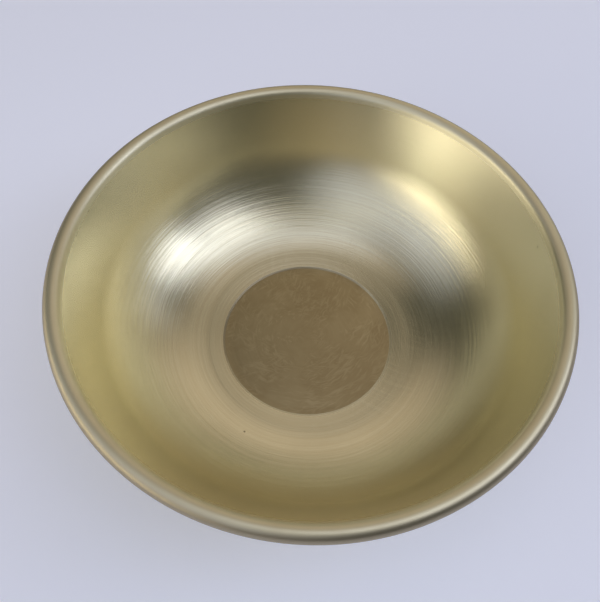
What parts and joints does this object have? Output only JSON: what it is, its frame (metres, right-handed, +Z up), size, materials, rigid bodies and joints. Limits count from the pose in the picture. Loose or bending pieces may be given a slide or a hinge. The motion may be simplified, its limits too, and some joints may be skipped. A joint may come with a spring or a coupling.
{
  "type": "offering bowl",
  "caption": "Round spun brass offering bowl with a flat recessed well, curved side, rolled round rim and a low foot ring, for holding water, rice, fruit or flowers.",
  "frame": {"origin": "centre of the circle that the foot ring stands on", "axes": "+Z up along the bowl's axis of rotation; -Y towards the viewer of the picture; +X to the right"},
  "size_m": [0.16, 0.16, 0.054],
  "materials": {
    "satin_brass": "satin spun brass with fine lathe rings, hand-rubbed, lightly tarnished",
    "iron_wire": "soft iron wire, dull grey",
    "turned_brass": "turned brass with fine tool rings",
    "soft_solder": "wiped tin solder, dull silver grey"
  },
  "bodies": {
    "root": {"bowl_shell": "satin_brass", "rim_wire": "iron_wire", "foot_ring": "turned_brass", "foot_solder": "soft_solder"}
  },
  "joints": []
}
